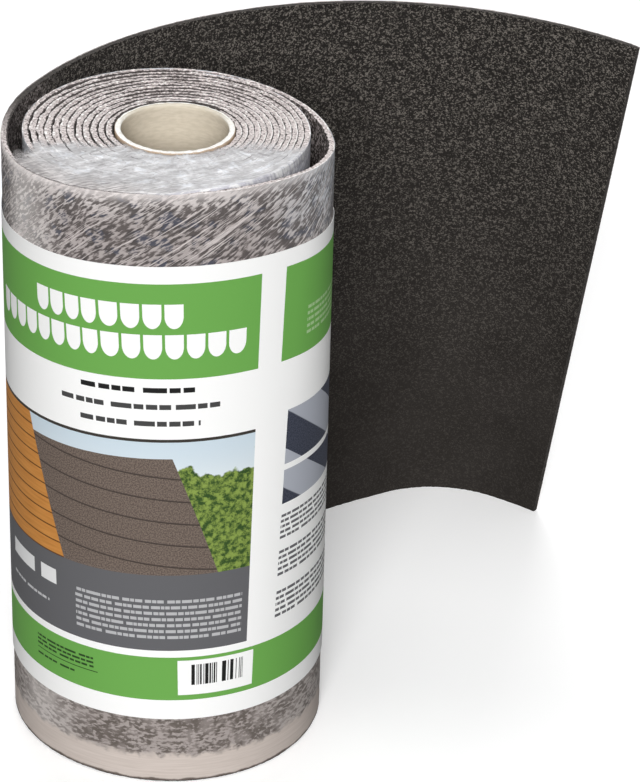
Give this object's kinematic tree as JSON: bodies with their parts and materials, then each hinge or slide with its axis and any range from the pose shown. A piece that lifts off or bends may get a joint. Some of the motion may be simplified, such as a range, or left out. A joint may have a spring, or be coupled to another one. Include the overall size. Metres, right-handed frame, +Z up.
{
  "type": "roll of roofing felt",
  "caption": "Standing roll of black slate-surfaced bitumen roofing felt on a cardboard tube, with release film, a paper label and the free end opened out behind it.",
  "frame": {"origin": "on the axis of the tube, at the level of the roll's lower end", "axes": "+Z up along the tube, -Y towards the front of the roll, +X towards the side where the free end stands"},
  "size_m": [0.4921, 0.4702, 0.502],
  "materials": {
    "cardboard_tube": "matt spiral-wound cardboard with a pale cut rim",
    "slate_felt": "rough mineral granules on bitumen",
    "release_film": "translucent wrinkled film that clings to black bitumen in blotches",
    "end_film": "hazy translucent film",
    "label_paper": "satin printed paper"
  },
  "bodies": {
    "root": {"core_tube": "cardboard_tube", "felt": "slate_felt", "release_film": "release_film", "end_film": "end_film", "label": "label_paper"}
  },
  "joints": []
}
